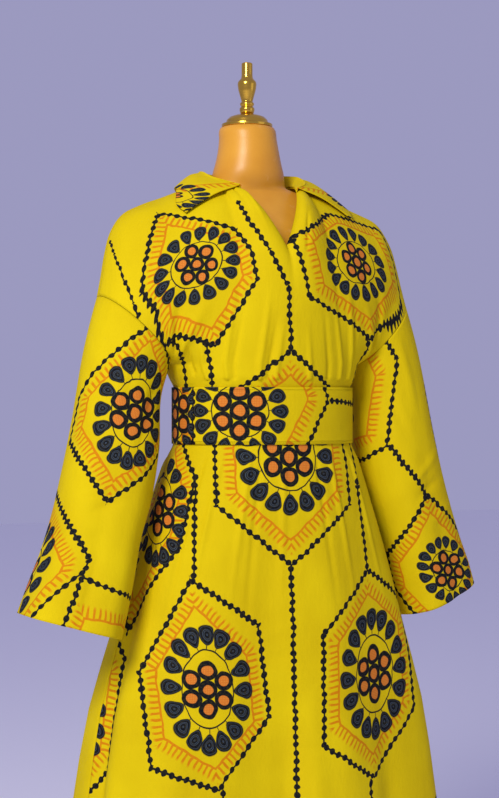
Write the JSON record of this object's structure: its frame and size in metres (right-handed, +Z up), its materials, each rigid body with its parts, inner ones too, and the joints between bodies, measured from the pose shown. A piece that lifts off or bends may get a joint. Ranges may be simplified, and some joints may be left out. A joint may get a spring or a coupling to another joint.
{
  "type": "dress on a limbless dress form with a pole stand",
  "caption": "Belted A-line shirt dress with an open collar and long bell sleeves, worn by a limbless dress form on a pole stand.",
  "frame": {"origin": "on the floor at the middle of the base plate's underside, on the pole's axis", "axes": "+Z up along the pole, the dress faces -Y, +X is the side of its left sleeve"},
  "size_m": [0.8465, 0.4146, 1.6516],
  "materials": {
    "print_cotton": "plain woven wax-print cotton, yellow ground",
    "form_leather": "smooth tan leather, half matt",
    "brass": "polished",
    "stand_steel": "satin black"
  },
  "bodies": {
    "root": {"bodice_front": "print_cotton", "bodice_back": "print_cotton", "skirt_front": "print_cotton", "skirt_back": "print_cotton", "sleeve_left": "print_cotton", "sleeve_right": "print_cotton", "belt": "print_cotton", "collar": "print_cotton", "form_torso": "form_leather", "neck_cap": "brass", "finial": "brass", "base_plate": "stand_steel", "pole": "stand_steel"}
  },
  "joints": []
}
